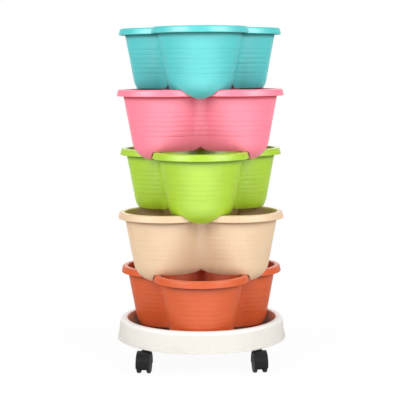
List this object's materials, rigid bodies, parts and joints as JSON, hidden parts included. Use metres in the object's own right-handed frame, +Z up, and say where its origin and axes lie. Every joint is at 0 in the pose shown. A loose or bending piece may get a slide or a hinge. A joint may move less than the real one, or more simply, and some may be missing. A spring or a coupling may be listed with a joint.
{
  "type": "vertical planter tower",
  "caption": "Tower of stacked three-lobed plastic pots, each turned half a lobe from the one below, standing in a round tray on twin-wheel swivel casters.",
  "frame": {"origin": "on the floor under the centre of the tray, on the tower's vertical axis", "axes": "+Z up the tower, -Y to the front, where the bottom, middle and top pots have a lobe"},
  "size_m": [0.36, 0.3678, 0.7038],
  "materials": {
    "pot_terracotta": "satin moulded plastic",
    "pot_peach": "satin moulded plastic",
    "pot_green": "satin moulded plastic",
    "pot_pink": "satin moulded plastic",
    "pot_teal": "satin moulded plastic",
    "tray_cream": "satin moulded plastic",
    "hood_black": "smooth black plastic",
    "wheel_black": "hard black plastic tread",
    "caster_steel": "zinc-plated steel"
  },
  "bodies": {
    "base": {"rolling_tray": "tray_cream", "caster_front_left_stem": "caster_steel", "caster_front_left_grip_ring": "caster_steel", "caster_front_right_stem": "caster_steel", "caster_front_right_grip_ring": "caster_steel", "caster_rear_left_stem": "caster_steel", "caster_rear_left_grip_ring": "caster_steel", "caster_rear_right_stem": "caster_steel", "caster_rear_right_grip_ring": "caster_steel"},
    "pot_bottom_terracotta": {"pot_bottom_terracotta": "pot_terracotta"},
    "pot_lower_peach": {"pot_lower_peach": "pot_peach"},
    "pot_middle_green": {"pot_middle_green": "pot_green"},
    "pot_upper_pink": {"pot_upper_pink": "pot_pink"},
    "pot_top_teal": {"pot_top_teal": "pot_teal"},
    "caster_front_left": {"caster_front_left_hood": "hood_black", "caster_front_left_axle": "caster_steel"},
    "caster_front_left_wheel_left": {"caster_front_left_wheel_left": "wheel_black"},
    "caster_front_left_wheel_right": {"caster_front_left_wheel_right": "wheel_black"},
    "caster_front_right": {"caster_front_right_hood": "hood_black", "caster_front_right_axle": "caster_steel"},
    "caster_front_right_wheel_left": {"caster_front_right_wheel_left": "wheel_black"},
    "caster_front_right_wheel_right": {"caster_front_right_wheel_right": "wheel_black"},
    "caster_rear_left": {"caster_rear_left_hood": "hood_black", "caster_rear_left_axle": "caster_steel"},
    "caster_rear_left_wheel_left": {"caster_rear_left_wheel_left": "wheel_black"},
    "caster_rear_left_wheel_right": {"caster_rear_left_wheel_right": "wheel_black"},
    "caster_rear_right": {"caster_rear_right_hood": "hood_black", "caster_rear_right_axle": "caster_steel"},
    "caster_rear_right_wheel_left": {"caster_rear_right_wheel_left": "wheel_black"},
    "caster_rear_right_wheel_right": {"caster_rear_right_wheel_right": "wheel_black"}
  },
  "joints": [
    {"name": "pot_bottom_terracotta_lift", "type": "slide", "parent": "base", "child": "pot_bottom_terracotta", "axis": [0, 0, 1], "range_m": [0, 0.08]},
    {"name": "pot_lower_peach_lift", "type": "slide", "parent": "pot_bottom_terracotta", "child": "pot_lower_peach", "axis": [0, 0, 1], "range_m": [0, 0.08]},
    {"name": "pot_middle_green_lift", "type": "slide", "parent": "pot_lower_peach", "child": "pot_middle_green", "axis": [0, 0, 1], "range_m": [0, 0.08]},
    {"name": "pot_upper_pink_lift", "type": "slide", "parent": "pot_middle_green", "child": "pot_upper_pink", "axis": [0, 0, 1], "range_m": [0, 0.08]},
    {"name": "pot_top_teal_lift", "type": "slide", "parent": "pot_upper_pink", "child": "pot_top_teal", "axis": [0, 0, 1], "range_m": [0, 0.08]},
    {"name": "caster_front_left_swivel", "type": "hinge", "parent": "base", "child": "caster_front_left", "pos_m": [-0.11597, -0.11597, 0.03], "axis": [0, 0, 1], "continuous": true},
    {"name": "caster_front_left_wheel_left_spin", "type": "hinge", "parent": "caster_front_left", "child": "caster_front_left_wheel_left", "pos_m": [-0.11798, -0.13234, 0.02], "axis": [0.9925, -0.1219, 0], "continuous": true},
    {"name": "caster_front_left_wheel_right_spin", "type": "hinge", "parent": "caster_front_left", "child": "caster_front_left_wheel_right", "pos_m": [-0.11798, -0.13234, 0.02], "axis": [0.9925, -0.1219, 0], "continuous": true},
    {"name": "caster_front_right_swivel", "type": "hinge", "parent": "base", "child": "caster_front_right", "pos_m": [0.11597, -0.11597, 0.03], "axis": [0, 0, 1], "continuous": true},
    {"name": "caster_front_right_wheel_left_spin", "type": "hinge", "parent": "caster_front_right", "child": "caster_front_right_wheel_left", "pos_m": [0.11798, -0.13234, 0.02], "axis": [0.9925, 0.1219, 0], "continuous": true},
    {"name": "caster_front_right_wheel_right_spin", "type": "hinge", "parent": "caster_front_right", "child": "caster_front_right_wheel_right", "pos_m": [0.11798, -0.13234, 0.02], "axis": [0.9925, 0.1219, 0], "continuous": true},
    {"name": "caster_rear_left_swivel", "type": "hinge", "parent": "base", "child": "caster_rear_left", "pos_m": [-0.11597, 0.11597, 0.03], "axis": [0, 0, 1], "continuous": true},
    {"name": "caster_rear_left_wheel_left_spin", "type": "hinge", "parent": "caster_rear_left", "child": "caster_rear_left_wheel_left", "pos_m": [-0.12371, 0.13053, 0.02], "axis": [-0.8829, -0.4695, 0], "continuous": true},
    {"name": "caster_rear_left_wheel_right_spin", "type": "hinge", "parent": "caster_rear_left", "child": "caster_rear_left_wheel_right", "pos_m": [-0.12371, 0.13053, 0.02], "axis": [-0.8829, -0.4695, 0], "continuous": true},
    {"name": "caster_rear_right_swivel", "type": "hinge", "parent": "base", "child": "caster_rear_right", "pos_m": [0.11597, 0.11597, 0.03], "axis": [0, 0, 1], "continuous": true},
    {"name": "caster_rear_right_wheel_left_spin", "type": "hinge", "parent": "caster_rear_right", "child": "caster_rear_right_wheel_left", "pos_m": [0.12134, 0.13157, 0.02], "axis": [-0.9455, 0.3256, 0], "continuous": true},
    {"name": "caster_rear_right_wheel_right_spin", "type": "hinge", "parent": "caster_rear_right", "child": "caster_rear_right_wheel_right", "pos_m": [0.12134, 0.13157, 0.02], "axis": [-0.9455, 0.3256, 0], "continuous": true}
  ]
}
